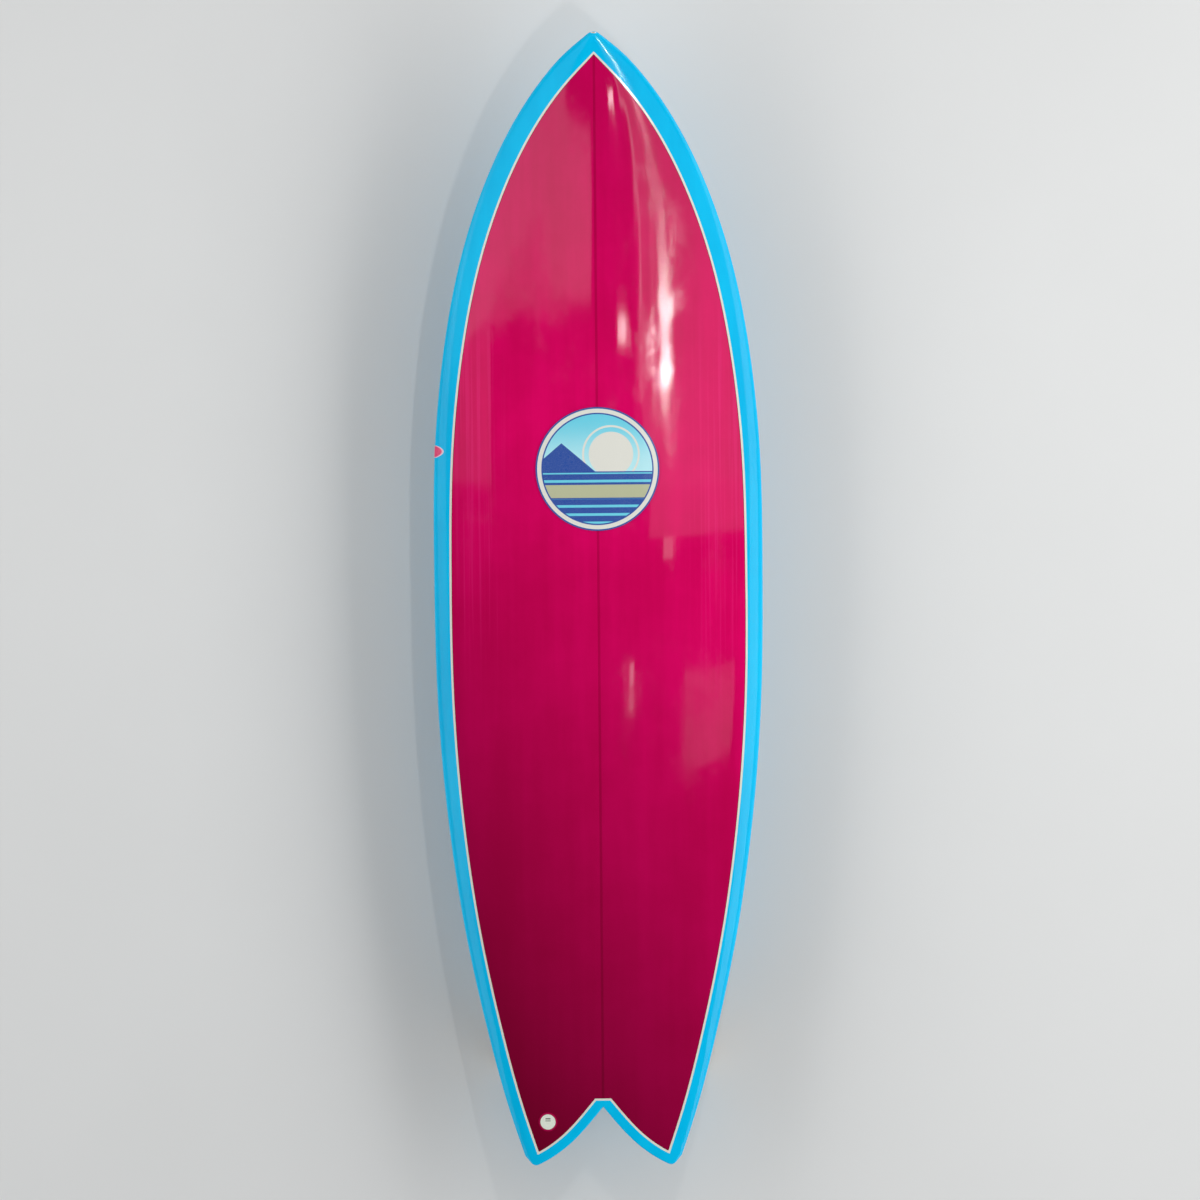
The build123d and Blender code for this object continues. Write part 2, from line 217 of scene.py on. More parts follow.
APEX_NOSE, APEX_TAIL = 0.46, 0.24          # height of the rail's edge, as a share of thickness
TUCK_NOSE, TUCK_TAIL, TUCK_LIMIT = 46, 13, 0.62
CROWN, OVAL = 0.62, 0.5523                 # fullness of the crown, and of a true oval
GLASS = 1.1                                # a hair under the frame's skin, so it stays inside
NOSE_ROUND = 7                             # how far the tip's rounding reaches back
LOBE_LIFT, LOBE_LIFT_FROM = 1.4, -862     # fuller glass over the tips of the swallow tail
BOX_LIFT, BOX_LIFT_FROM = 1.2, -715        # and at the rail over the fin boxes
EDGE_ROUND, LOWER_EDGE_ROUND = 2.6, 1.2    # softened edges of the swallow's cut
LAP_NOSE_TIP, LAP_NOSE, LAP_MID, LAP_TAIL = 32, 33, 25, 19.5
LAP_SWALLOW, LAP_CROTCH = 15.5, 10.5
HALF_LENGTH = BOARD_LENGTH / 2
NOSE_Y, TAIL_Y = HALF_LENGTH, -HALF_LENGTH
CROTCH_Y = TAIL_Y + SWALLOW_DEPTH


def unit(angle):
    return np.array([cos(angle), sin(angle)])


def smooth_curve(points, start, end, steps=60):
    """Points close together along the smooth curve through a few, leaving and arriving as given."""
    p = np.array(points, float)
    gap = np.linalg.norm(np.diff(p, axis=0), axis=1)
    count = len(p)
    pull, aim = np.eye(count), np.zeros((count, 2))
    aim[0], aim[-1] = start, end
    for i in range(1, count - 1):
        before, after = gap[i - 1], gap[i]
        pull[i, i - 1:i + 2] = after, 2 * (before + after), before
        aim[i] = 3 * (after * (p[i] - p[i - 1]) / before + before * (p[i + 1] - p[i]) / after)
    slope = np.linalg.solve(pull, aim)
    t = np.linspace(0, 1, steps, endpoint=False)[:, None]
    runs = [
        (2 * t**3 - 3 * t**2 + 1) * p[i] + (3 * t**2 - 2 * t**3) * p[i + 1]
        + gap[i] * ((t**3 - 2 * t**2 + t) * slope[i] + (t**3 - t**2) * slope[i + 1])
        for i in range(count - 1)
    ]
    return np.vstack(runs + [p[-1:]])


leaving = np.array([sin(NOSE_ANGLE), -cos(NOSE_ANGLE)])
arriving = np.array([-TAIL_TAPER, -1]) / np.hypot(TAIL_TAPER, 1)
outline = smooth_curve(
    [(NOSE_BLUNT, NOSE_Y)]
    + [(share * BOARD_WIDTH / 2, NOSE_Y - along * BOARD_LENGTH) for along, share in TEMPLATE],
    leaving, arriving,
)
nose_radius = NOSE_BLUNT / tan(NOSE_ANGLE) / (1 / sin(NOSE_ANGLE) - 1)
nose_touch = nose_radius * (1 - sin(NOSE_ANGLE))


def half_width(y):
    """Half the board's width at y, with the nose closed by a round tip."""
    back = np.clip(NOSE_Y - np.asarray(y, float), 0, None)
    wide = np.interp(back, NOSE_Y - outline[:, 1], outline[:, 0])
    near = np.minimum(back, nose_touch)
    tip = np.sqrt(np.clip(nose_radius**2 - (nose_radius - near) ** 2, 0, None))
    return np.where(back < nose_touch, tip, wide)


def bottom_line(y):
    """Height of the bottom over the stringer: nose and tail rocker about a flat middle."""
    share = np.abs(y) / HALF_LENGTH
    ahead = (NOSE_ROCKER + FLAT_SPOT) * share**NOSE_POWER
    behind = (TAIL_ROCKER + FLAT_SPOT) * share**TAIL_POWER
    return np.maximum(np.where(y > 0, ahead, behind) - FLAT_SPOT, 0)


def thickness(y):
    """Thickness over the stringer."""
    ahead = np.clip((y - THICKEST_AT) / (NOSE_Y - THICKEST_AT), 0, 1)
    behind = np.clip((THICKEST_AT - y) / (THICKEST_AT - TAIL_Y), 0, 1)
    nose = NOSE_THICKNESS + (BOARD_THICKNESS - NOSE_THICKNESS) * (1 - ahead**2) ** NOSE_FOIL
    tail = TAIL_THICKNESS + (BOARD_THICKNESS - TAIL_THICKNESS) * (1 - behind**2) ** TAIL_FOIL
    return np.where(y > THICKEST_AT, nose, tail)


def blend_aft(y, nose, tail):
    share = np.clip((y - TAIL_Y) / BOARD_LENGTH, 0, 1)
    return tail + (nose - tail) * share * share * (3 - 2 * share)


def apex_height(y):
    return bottom_line(y) + thickness(y) * blend_aft(y, APEX_NOSE, APEX_TAIL)


def nose_closing(y):
    """Falls from 1 to 0 over the last of the nose, which rounds the tip off seen from the side."""
    share = np.clip((NOSE_Y - y) / NOSE_ROUND, 0, 1)
    return np.sqrt(1 - (1 - share) ** 2)


def deck_height(x, y):
    """Height of the deck, along the crown's curve from the stringer down to the rail's edge."""
    low = apex_height(y)
    top = bottom_line(y) + thickness(y)
    share = np.clip(np.abs(x) / np.maximum(half_width(y), 1e-6), 0, 1)
    near, off = np.zeros_like(share), np.ones_like(share)
    for _ in range(40):
        t = (near + off) / 2
        short = 3 * (1 - t) ** 2 * t * CROWN + 3 * (1 - t) * t**2 + t**3 < share
        near, off = np.where(short, t, near), np.where(short, off, t)
    rise = (1 - t) ** 3 + 3 * (1 - t) ** 2 * t + 3 * (1 - t) * t**2 * OVAL
    lift = LOBE_LIFT * np.clip((LOBE_LIFT_FROM - y) / 30, 0, 1)
    lift = np.maximum(lift, BOX_LIFT * share**8 * np.clip((BOX_LIFT_FROM - y) / 30, 0, 1))
    return low + (top - low) * rise * nose_closing(y) + lift


def bottom_height(x, y):
    """Height of the bottom: flat, then turned up to the rail's edge in a quarter oval."""
    half = half_width(y)
    low, apex = bottom_line(y), apex_height(y)
    tuck = np.maximum(np.minimum(blend_aft(y, TUCK_NOSE, TUCK_TAIL), TUCK_LIMIT * half), 1e-6)
    share = np.clip((np.abs(x) - half + tuck) / tuck, 0, 1)
    drop = (apex - low) * np.sqrt(1 - share**2) * nose_closing(y)
    return apex - drop


def resample(points, count, crowd=0.0):
    """The same path as count even steps, closer together at its ends by crowd, from 0 to 1."""
    p = np.array(points, float)
    along = np.r_[0, np.cumsum(np.linalg.norm(np.diff(p, axis=0), axis=1))]
    t = np.linspace(0, 1, count + 1)
    t = (1 - crowd) * t + crowd * (1 - np.cos(pi * t)) / 2
    return np.column_stack([np.interp(t * along[-1], along, p[:, k]) for k in (0, 1)])


def swallow_curve(inset):
    """Edge of a tail lobe from the crotch to its tip, moved into the board by inset."""
    leave, arrive = unit(-SWALLOW_ANGLE), unit(-TIP_ANGLE)
    tip = (TIP_HALF_SPREAD, TAIL_Y + TIP_CORNER_RADIUS * (1 - cos(TIP_ANGLE)))
    middle = (SWALLOW_MID[0], CROTCH_Y - SWALLOW_MID[1])
    edge = smooth_curve([(0, CROTCH_Y), middle, tip], leave, arrive)
    if not inset:
        return edge
    turn = np.gradient(edge, axis=0)
    turn /= np.linalg.norm(turn, axis=1)[:, None]
    moved = edge + inset * np.column_stack([-turn[:, 1], turn[:, 0]])
    return moved[moved[:, 0] > 0]


def crossing(first, second):
    """Where two paths cross: index into each, and the point."""
    gaps = np.linalg.norm(first[:, None] - second[None], axis=2)
    i, j = np.unravel_index(np.argmin(gaps), gaps.shape)
    return i, j, (first[i] + second[j]) / 2


SIDE_STEPS, BAR_STEPS, LOBE_STEPS = 290, 5, 44


def edge_loop():
    """Outer edge of the starboard half: nose to the lobe's tip, then in to the crotch."""
    y = NOSE_Y - (np.linspace(0, 1, 2400) ** 2) * (BOARD_LENGTH + 16)
    rail = np.column_stack([half_width(y), y])
    swallow = swallow_curve(0)
    centre = swallow[-1] + TIP_CORNER_RADIUS * np.array([sin(TIP_ANGLE), cos(TIP_ANGLE)])
    turns = np.linspace(-TIP_ANGLE, TIP_CORNER_END, 30) - pi / 2
    arc = centre + TIP_CORNER_RADIUS * np.column_stack([np.cos(turns), np.sin(turns)])
    out = arc[-1] + np.linspace(0, 60, 600)[:, None] * unit(TIP_CORNER_END)
    i, j, corner = crossing(rail, out)
    lobe_end = np.vstack([arc[15:], out[1:j], corner[None]])
    side = np.vstack([rail[:i], lobe_end[::-1]])
    tail = np.vstack([arc[:16][::-1], swallow[::-1][1:]])
    inner = np.linalg.norm(tail - tail[-1], axis=1) < 9
    return (resample(side, SIDE_STEPS, 0.75), resample(tail[~inner], LOBE_STEPS, 0.4),
            resample(tail[np.argmax(inner) - 1:], BAR_STEPS))


def inner_loop(extra):
    """The lap line of the starboard half, moved further into the deck by extra."""
    y = np.linspace(NOSE_Y - 0.03 * BOARD_LENGTH, TAIL_Y - 20, 1500)
    half = half_width(y)
    slope = np.gradient(half, y)
    lean = np.hypot(1, slope)
    lap_end = np.where(y > 0, LAP_NOSE, LAP_TAIL)
    lap = LAP_MID + (lap_end - LAP_MID) * np.abs(y) / HALF_LENGTH + extra
    side = np.column_stack([half - lap / lean, y + lap * slope / lean])
    nose = np.array([0, NOSE_Y - LAP_NOSE_TIP - extra / sin(NOSE_ANGLE)])
    start = np.argmax(side[:, 1] < nose[1] - 40 - extra)
    first = side[start:]
    lead = smooth_curve([nose, first[0]], (first[0] - nose) / np.linalg.norm(first[0] - nose),
                        (first[1] - first[0]) / np.linalg.norm(first[1] - first[0]))
    side = np.vstack([lead[:-1], first])
    path = swallow_curve(LAP_SWALLOW + extra)
    path = np.vstack([path, path[-1] + np.linspace(0.1, 80, 800)[:, None] * unit(-TIP_ANGLE)])
    i, j, corner = crossing(side, path)
    bar_y = CROTCH_Y + LAP_CROTCH + extra
    path = path[:j]
    kept = path[path[:, 1] < bar_y]
    before = path[-len(kept) - 1] if len(kept) < len(path) else kept[0]
    share = (bar_y - kept[0][1]) / max(before[1] - kept[0][1], 1e-9)
    bar = (kept[0] + share * (before - kept[0]) if len(kept) < len(path)
           else np.array([kept[0][0] - (bar_y - kept[0][1]) / tan(SWALLOW_ANGLE), bar_y]))
    lobe = np.vstack([corner[None], kept[::-1], bar[None]])
    return (resample(np.vstack([side[:i], corner[None]]), SIDE_STEPS, 0.75),
            resample(lobe, LOBE_STEPS, 0.4),
            resample([bar, (0, bar_y)], BAR_STEPS))


def whole(loop):
    """The loop's parts as one run of points."""
    return np.vstack([loop[0], loop[1][1:], loop[2][1:]])


def grid_faces(rows, columns, offset=0):
    at = offset + np.arange(rows * columns).reshape(rows, columns)
    return np.stack([at[:-1, :-1], at[:-1, 1:], at[1:, 1:], at[1:, :-1]], -1).reshape(-1, 4)


class Skin:
    """The board's whole surface, gathered region by region and then shared out to its pieces."""

    def __init__(self):
        self.points, self.faces, self.region = [], [], []
        self.count = 0

    def patch(self, grid, region, sides=2):
        """A grid of points, repeated to port unless it lies on the middle."""
        rows, columns = grid.shape[:2]
        flat = grid.reshape(-1, 3)
        faces = grid_faces(rows, columns)
        for points, order in ((flat, faces), (flat * (-1, 1, 1), faces[:, ::-1]))[:sides]:
            self.points.append(points)
            self.faces.append(order + self.count)
            self.region += [region] * len(order)
            self.count += len(points)

    def close(self):
        """Joins what meets, and gathers the faces with their regions."""
        points = np.vstack(self.points)
        keys, kept, back = np.unique(np.round(points, 3), axis=0, return_index=True,
                                     return_inverse=True)
        self.at = points[kept]
        self.quads = back.reshape(-1)[np.vstack(self.faces)]
        self.region = np.array(self.region)
        self.gone = np.zeros(len(self.region), bool)

    def normals(self):
        a, b, c, d = (self.at[self.quads[:, k]] for k in range(4))
        facing = np.cross(c - a, d - b)
        total = np.zeros_like(self.at)
        for k in range(4):
            np.add.at(total, self.quads[:, k], facing)
        size = np.linalg.norm(total, axis=1)
        return total / np.maximum(size, 1e-12)[:, None]


def raised(plan, height):
    return np.dstack([plan, height(plan[..., 0], plan[..., 1])])


def between(outer, inner, rows, region, skin, height, rim=None, start=0.0):
    """A band between two loops, its rows closing up towards the outer one."""
    share = np.sin(np.linspace(start, 1, rows + 1) * pi / 2) if rim is not None else (
        np.linspace(0, 1, rows + 1))
    a, b = whole(inner), whole(outer)
    plan = a[None] + (b - a)[None] * share[:, None, None]
    grid = raised(plan, height)
    if rim is not None:
        radius, sign = rim
        edge = np.linalg.norm(plan - b[None], axis=2)
        reach = np.minimum(radius, 0.42 * gap_at(b))[None]
        inside = np.clip(reach - edge, 0, None)
        grid[..., 2] -= sign * (reach - np.sqrt(np.clip(reach**2 - inside**2, 0, None)))
    skin.patch(grid[::-1] if region == "bottom" else grid, region)
    return grid


def gap_at(plan):
    return np.maximum(
        deck_height(plan[:, 0], plan[:, 1]) - bottom_height(plan[:, 0], plan[:, 1]), 0)


def filled(loop, region, skin, height):
    """The middle of the board inside a loop, from the stringer out."""
    side = loop[0]
    tail = np.vstack([loop[1], loop[2][1:]])[::-1]
    gone_by = np.append(0, np.cumsum(np.linalg.norm(np.diff(tail, axis=0), axis=1)))
    out = (gone_by / gone_by[-1])[None, :, None]
    share = (side[:, 1] - side[0, 1]) / (side[-1, 1] - side[0, 1])
    middle = np.column_stack([0 * share, side[0, 1] + share * (tail[0, 1] - side[0, 1])])
    plan = middle[:, None] * (1 - out) + side[:, None] * out
    plan = plan + (share**3)[:, None, None] * (tail - plan[-1])[None]
    skin.patch(raised(plan, height)[::-1] if region == "deck" else raised(plan, height), region)
    return plan


PINLINE_WIDTH, PINLINE_SHADOW = 4.2, 0.9
skin = Skin()
edge, lap_line = edge_loop(), inner_loop(0)
shadow_line = inner_loop(PINLINE_WIDTH - PINLINE_SHADOW)
deck_line, belly_line = inner_loop(PINLINE_WIDTH), inner_loop(22)
filled(deck_line, "deck", skin, deck_height)
between(shadow_line, deck_line, 1, "pinline_shadow", skin, deck_height)
between(lap_line, shadow_line, 3, "pinline", skin, deck_height)
upper = between(edge, lap_line, 14, "lap", skin, deck_height, (EDGE_ROUND, 1))
lower = between(edge, belly_line, 13, "bottom", skin, bottom_height, (LOWER_EDGE_ROUND, -1))
fall = np.linspace(0, 1, 4)[:, None, None]
skin.patch(upper[-1][None] * (1 - fall) + lower[-1][None] * fall, "lap")
filled(belly_line, "bottom", skin, bottom_height)
skin.close()
FIN_FROM_TAIL, FIN_FROM_RAIL = 220, 37
FIN_Y = TAIL_Y + FIN_FROM_TAIL
FIN_X = float(half_width(FIN_Y)) - FIN_FROM_RAIL
FIN_TOE, FIN_CANT = radians(2), radians(4)
BOX_LENGTH, BOX_WIDTH, BOX_CORNER, BOX_RESIN = 128, 29, 7, 1.6
PLUG_X, PLUG_Y, PLUG_RADIUS, PLUG_RESIN = -89.5, -844, 13.5, 1.6
EMBLEM_Y, EMBLEM_RADIUS = 211, 100


def from_circle(plan, x, y, radius):
    """Distance outside a round hole, and the way out of it."""
    off = plan - (x, y)
    size = np.maximum(np.linalg.norm(off, axis=1), 1e-9)
    return size - radius, off / size[:, None]


def from_pocket(plan, side):
    """Distance outside the rounded pocket of a fin box, and the way out of it."""
    turn = FIN_TOE * side
    along, across = np.array([-sin(turn), cos(turn)]), np.array([cos(turn), sin(turn)])
    off = plan - (side * FIN_X, FIN_Y)
    local = np.column_stack([off @ across, off @ along])
    corner = BOX_CORNER + BOX_RESIN
    core = np.array([BOX_WIDTH, BOX_LENGTH]) / 2 + BOX_RESIN - corner
    over = np.abs(local) - core
    outside = np.clip(over, 0, None)
    size = np.linalg.norm(outside, axis=1)
    pick = (over == over.max(axis=1)[:, None]).astype(float)
    way = np.where(size[:, None] > 0, outside / np.maximum(size, 1e-9)[:, None], pick)
    way *= np.sign(local)
    return size + np.minimum(over.max(axis=1), 0) - corner, way @ np.array([across, along])


def cut_hole(skin, region, height, outside):
    """Opens a hole: points near its edge move onto it, and faces inside it go."""
    mine = np.isin(skin.region, region)
    used = np.unique(skin.quads[mine])
    away, way = outside(skin.at[used][:, :2])
    inside = np.zeros(len(skin.at), bool)
    inside[used] = away < 0
    corners = inside[skin.quads]
    gone = mine & corners.any(axis=1) & (corners.sum(axis=1) >= 2)
    rim = mine & ~gone
    border = np.intersect1d(np.unique(skin.quads[gone]), np.unique(skin.quads[rim]))
    for _ in range(3):
        away, way = outside(skin.at[border][:, :2])
        skin.at[border, :2] -= away[:, None] * way
    skin.at[border, 2] = height(skin.at[border, 0], skin.at[border, 1])
    skin.gone |= gone


cut_hole(skin, ["deck"], deck_height,
         lambda plan: from_circle(plan, 0, EMBLEM_Y, EMBLEM_RADIUS))
cut_hole(skin, ["deck"], deck_height,
         lambda plan: from_circle(plan, PLUG_X, PLUG_Y, PLUG_RADIUS + PLUG_RESIN))
for side in (1, -1):
    cut_hole(skin, ["bottom"], bottom_height, lambda plan: from_pocket(plan, side))


def cloth_shell(name, skin, regions, thick, materials):
    """A piece of the skin as a closed layer of its own thickness, smooth across its neighbours."""
    mine = np.isin(skin.region, regions) & ~skin.gone
    skin_normals = skin.normals()
    quads, region = skin.quads[mine], skin.region[mine]
    used, local = np.unique(quads, return_inverse=True)
    quads = local.reshape(quads.shape)
    top, way = skin.at[used], skin_normals[used]
    count = len(used)
    faces = [list(dict.fromkeys(face)) for face in quads.tolist()]
    kept = [n for n, face in enumerate(faces) if len(face) > 2]
    faces, region = [faces[n] for n in kept], region[kept]
    edges = {}
    for face in faces:
        for a, b in zip(face, face[1:] + face[:1]):
            edges[(a, b)] = edges.get((a, b), 0) + 1
    rim = [(a, b) for (a, b) in edges if (b, a) not in edges]
    under = [[v + count for v in reversed(face)] for face in faces]
    sides = [[b, a, a + count, b + count] for a, b in rim]
    mesh = bpy.data.meshes.new(name)
    points = np.vstack([top, top - thick * way]) * 0.001
    mesh.from_pydata(points.tolist(), [], faces + under + sides)
    slot_of = {label: n for n, label in enumerate(regions)}
    slots = [min(slot_of[label], len(materials) - 1) for label in region]
    slots = slots + slots + [0] * len(sides)
    mesh.polygons.foreach_set("material_index", slots)
    mesh.polygons.foreach_set("use_smooth", [True] * len(slots))
    for material in materials:
        mesh.materials.append(material)
    mesh.update()
    way_of = np.vstack([way, -way])
    corner = []
    flat_from = len(faces) + len(under)
    for n, polygon in enumerate(mesh.polygons):
        if n < flat_from:
            corner += [tuple(way_of[v]) for v in polygon.vertices]
        else:
            corner += [tuple(polygon.normal)] * polygon.loop_total
    mesh.normals_split_custom_set(corner)
    piece = bpy.data.objects.new(name, mesh)
    bpy.context.scene.collection.objects.link(piece)
    return piece


# woven glass under resin: pigment drifts in clouds, the weave shows faintly, and the filler coat
# keeps long, low ripples from the sanding block
glass_cloth, given, out = group(
    "glass_cloth",
    {"Cloud Size": 7.0, "Weave Pitch": 0.0016},
    {"Cloud": "Float", "Weave": "Float", "Ripple": "Float", "Scuff": "Float"},
)
tree = glass_cloth
big = noise(tree, place(tree), given["Cloud Size"], 5.0, 0.6)
drawn = noise(tree, stretched(tree, place(tree), 26, 1.6, 26), 1.0, 4.0, 0.6)
tree.links.new(math(tree, "ADD", math(tree, "MULTIPLY", big, 0.6),
                    math(tree, "MULTIPLY", drawn, 0.4)), out["Cloud"])
cell = add(tree, "SeparateXYZ", {0: place(tree)}).outputs
pitch = math(tree, "DIVIDE", 2 * pi, given["Weave Pitch"])
warp = math(tree, "SINE", math(tree, "MULTIPLY", cell[0], pitch))
weft = math(tree, "SINE", math(tree, "MULTIPLY", cell[1], pitch))
tree.links.new(math(tree, "MULTIPLY_ADD", math(tree, "MULTIPLY", warp, weft), 0.5, 0.5),
               out["Weave"])
low = noise(tree, stretched(tree, place(tree), 30, 1.3, 10), 1.0, 2.0, 0.5)
fine = noise(tree, stretched(tree, place(tree), 170, 1.1, 10), 1.0, 2.0, 0.5)
outward = math(tree, "ABSOLUTE", cell[0])
fine = math(tree, "MULTIPLY", fine, ramp(tree, outward, 0.10, 0.20, 0.0, 0.14))
tree.links.new(math(tree, "MULTIPLY_ADD", low, 0.9, fine), out["Ripple"])
rub = noise(tree, stretched(tree, place(tree), 9, 5, 9), 1.0, 7.0, 0.7)
tree.links.new(ramp(tree, rub, 0.45, 0.75), out["Scuff"])

lap_finish, tree, shader = new_finish("lap_finish", IOR=1.5, Specular_IOR_Level=0.15)
cloth = use(tree, glass_cloth, Cloud_Size=5.0)
tint = blend(tree, ramp(tree, cloth["Cloud"], 0.3, 0.7),
             (0.0, 0.43, 0.75, 1), (0.002, 0.51, 0.84, 1))
tint = blend(tree, math(tree, "MULTIPLY", cloth["Weave"], 0.06), tint, (0.02, 0.62, 0.95, 1))
feed(tree, shader, Base_Color=tint, Roughness=ramp(tree, cloth["Scuff"], 0, 1, 0.05, 0.16))
relief(tree, shader, cloth["Ripple"], 0.0006, 0.5)
bottom_piece = cloth_shell("bottom_glass", skin, ["lap", "bottom"], GLASS, [lap_finish])
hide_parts("bottom_laminate")
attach(bottom_piece, "board")

# ================================================================ deck laminate
# Magenta resin tint over clear glass, squeegeed out so that the pigment lies thinner in places and
# drags into lengthwise streaks near the rails. The stringer shows through as a faint line.
# Painted shade darkens the deck's colour towards the tail and the port side.
deck_finish, tree, shader = new_finish("deck_finish", IOR=1.5)
cloth = use(tree, glass_cloth, Cloud_Size=4.5)
at = add(tree, "SeparateXYZ", {0: place(tree)}).outputs
tint = blend(tree, ramp(tree, cloth["Cloud"], 0.3, 0.72),
             (0.57, 0.0, 0.080, 1), (0.74, 0.001, 0.125, 1))
off = math(tree, "ABSOLUTE", at[0])
streak_zone = math(tree, "MULTIPLY", ramp(tree, off, 0.13, 0.19),
                   ramp(tree, off, 0.245, 0.215))
streak_zone = math(tree, "MULTIPLY", streak_zone,
                   math(tree, "MULTIPLY", ramp(tree, at[1], -0.25, 0.05),
                        ramp(tree, at[1], 0.55, 0.30)))
streaks = noise(tree, stretched(tree, place(tree), 160, 1.4, 1), 1.0, 3.0, 0.6)
streaks = math(tree, "MULTIPLY", ramp(tree, streaks, 0.5, 0.62), streak_zone)
tint = blend(tree, math(tree, "MULTIPLY", streaks, 0.3), tint, (0.80, 0.02, 0.20, 1))
# painted shade: the deck's colour darkens towards the tail and the port side, as if less light fell
# there
toward_tail = math(tree, "MULTIPLY_ADD", at[0], 0.9, at[1])
painted_shade_aft_port = ramp(tree, toward_tail, 0.15, -1.05, 0.0, 1.0, "LINEAR")
tint = blend(tree, painted_shade_aft_port, tint, (0.10, 0.0, 0.008, 1))
tint = blend(tree, ramp(tree, at[1], 0.25, 0.85, 0.0, 0.25), tint, (0.20, 0.0, 0.03, 1))
stringer_line = ramp(tree, off, 0.0026, 0.0014)
deeper = blend(tree, 1.0, tint, (0.62, 0.5, 0.5, 1), "MULTIPLY")
tint = blend(tree, math(tree, "MULTIPLY", stringer_line, 0.7), tint, deeper)
tint = blend(tree, math(tree, "MULTIPLY", cloth["Weave"], 0.05), tint, (0.85, 0.02, 0.2, 1))
feed(tree, shader, Base_Color=tint, Roughness=ramp(tree, cloth["Scuff"], 0, 1, 0.04, 0.15))
relief(tree, shader, cloth["Ripple"], 0.0008, 0.28)
deck_piece = cloth_shell("deck_glass", skin, ["deck"], GLASS, [deck_finish])
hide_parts("deck_laminate")
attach(deck_piece, "board")

# ================================================================ pinline
# A band of off-white resin paint, masked with two tapes over the lap's cut edge and brushed on
# under the gloss coat. Its inner side has a dark hairline, a painted shadow of the band's edge.
pin_finish, tree, shader = new_finish("pinline_paint", IOR=1.5)
brushed = noise(tree, stretched(tree, place(tree), 300, 40, 40), 1.0, 4.0)
worn = noise(tree, place(tree), 60.0, 5.0)
paint = blend(tree, brushed, (0.66, 0.63, 0.53, 1), (0.80, 0.78, 0.69, 1))
paint = blend(tree, ramp(tree, worn, 0.62, 0.8, 0, 0.5), paint, (0.50, 0.47, 0.42, 1))
feed(tree, shader, Base_Color=paint, Roughness=ramp(tree, worn, 0.3, 0.8, 0.08, 0.2))
relief(tree, shader, brushed, 0.0001, 0.4)
# painted shadow: a dark hairline along the inner side of the pinline
shadow_finish, tree, shader = new_finish("pinline_shadow_paint", IOR=1.5)
uneven = noise(tree, place(tree), 45.0, 4.0)
feed(tree, shader,
     Base_Color=blend(tree, uneven, (0.10, 0.005, 0.02, 1), (0.22, 0.01, 0.04, 1)),
     Roughness=ramp(tree, uneven, 0.3, 0.7, 0.08, 0.16))
pin_piece = cloth_shell("pinline_band", skin, ["pinline", "pinline_shadow"], GLASS,
                       [pin_finish, shadow_finish])
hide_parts("pinline")
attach(pin_piece, "board")

# ================================================================ deck emblem
# A round badge printed on rice paper and laminated between the cloth and the gloss coat, so it
# shares the deck's shine. Flat screen colours: a sun over a headland and a ruled sea.
EMBLEM_RINGS, EMBLEM_TURNS = 40, 160
disc = Skin()
radii = np.linspace(0, EMBLEM_RADIUS, EMBLEM_RINGS + 1)[:, None]
turns = np.linspace(0, 2 * pi, EMBLEM_TURNS + 1)[None, :-1]
turns = np.append(turns, [[0.0]], axis=1)
plan = np.dstack([radii * np.cos(turns), EMBLEM_Y + radii * np.sin(turns)])
disc.patch(raised(plan, deck_height), "badge", sides=1)
disc.close()

NAVY, SKY = (0.022, 0.075, 0.34, 1), (0.14, 0.62, 0.77, 1)
CREAM, SAND = (0.74, 0.73, 0.66, 1), (0.47, 0.49, 0.31, 1)
badge_finish, tree, shader = new_finish("badge_print", IOR=1.5)
cloth = use(tree, glass_cloth, Cloud_Size=6.0)
at = add(tree, "SeparateXYZ", {0: place(tree)}).outputs
right = at[0]
up = math(tree, "SUBTRACT", at[1], EMBLEM_Y * 0.001)
reach = math(tree, "SQRT", math(tree, "ADD", math(tree, "MULTIPLY", right, right),
                                math(tree, "MULTIPLY", up, up)))


def under(tree, value, limit):
    """1 where the value is below the limit, with a hair of softness at the printed edge."""
    return ramp(tree, math(tree, "SUBTRACT", value, limit), -0.0003, 0.0003, 1.0, 0.0)


def bar(tree, value, middle, half):
    return under(tree, math(tree, "ABSOLUTE", math(tree, "SUBTRACT", value, middle)), half)


inks = blend(tree, ramp(tree, up, 0.0, 0.085), (0.46, 0.80, 0.86, 1), SKY)
sun_x, sun_y = math(tree, "SUBTRACT", right, 0.022), math(tree, "SUBTRACT", up, 0.024)
sun = math(tree, "SQRT", math(tree, "ADD", math(tree, "MULTIPLY", sun_x, sun_x),
                              math(tree, "MULTIPLY", sun_y, sun_y)))
inks = blend(tree, bar(tree, sun, 0.045, 0.0016), inks, CREAM)
inks = blend(tree, under(tree, sun, 0.036), inks, CREAM)
slope = math(tree, "MULTIPLY", math(tree, "ABSOLUTE", math(tree, "ADD", right, 0.058)), 0.85)
inks = blend(tree, under(tree, math(tree, "ADD", up, slope), 0.042), inks, NAVY)
inks = blend(tree, under(tree, up, -0.004), inks, NAVY)
depth = math(tree, "SUBTRACT", -0.004, up)
ruled = math(tree, "FRACT", math(tree, "DIVIDE", depth, 0.0135))
sea_line = math(tree, "MULTIPLY", under(tree, math(tree, "MULTIPLY", ruled, 0.0135), 0.0042),
                under(tree, up, -0.006))
inks = blend(tree, sea_line, inks, SKY)
inks = blend(tree, bar(tree, up, -0.036, 0.0125), inks, NAVY)
inks = blend(tree, bar(tree, up, -0.036, 0.0105), inks, SAND)
for inner, ink in ((0.0885, NAVY), (0.0908, CREAM), (0.0975, NAVY)):
    inks = blend(tree, math(tree, "SUBTRACT", 1.0, under(tree, reach, inner)), inks, ink)
paper = noise(tree, place(tree), 900.0, 3.0)
inks = blend(tree, ramp(tree, paper, 0.35, 0.75, 0, 0.12), inks, (0.55, 0.55, 0.50, 1))
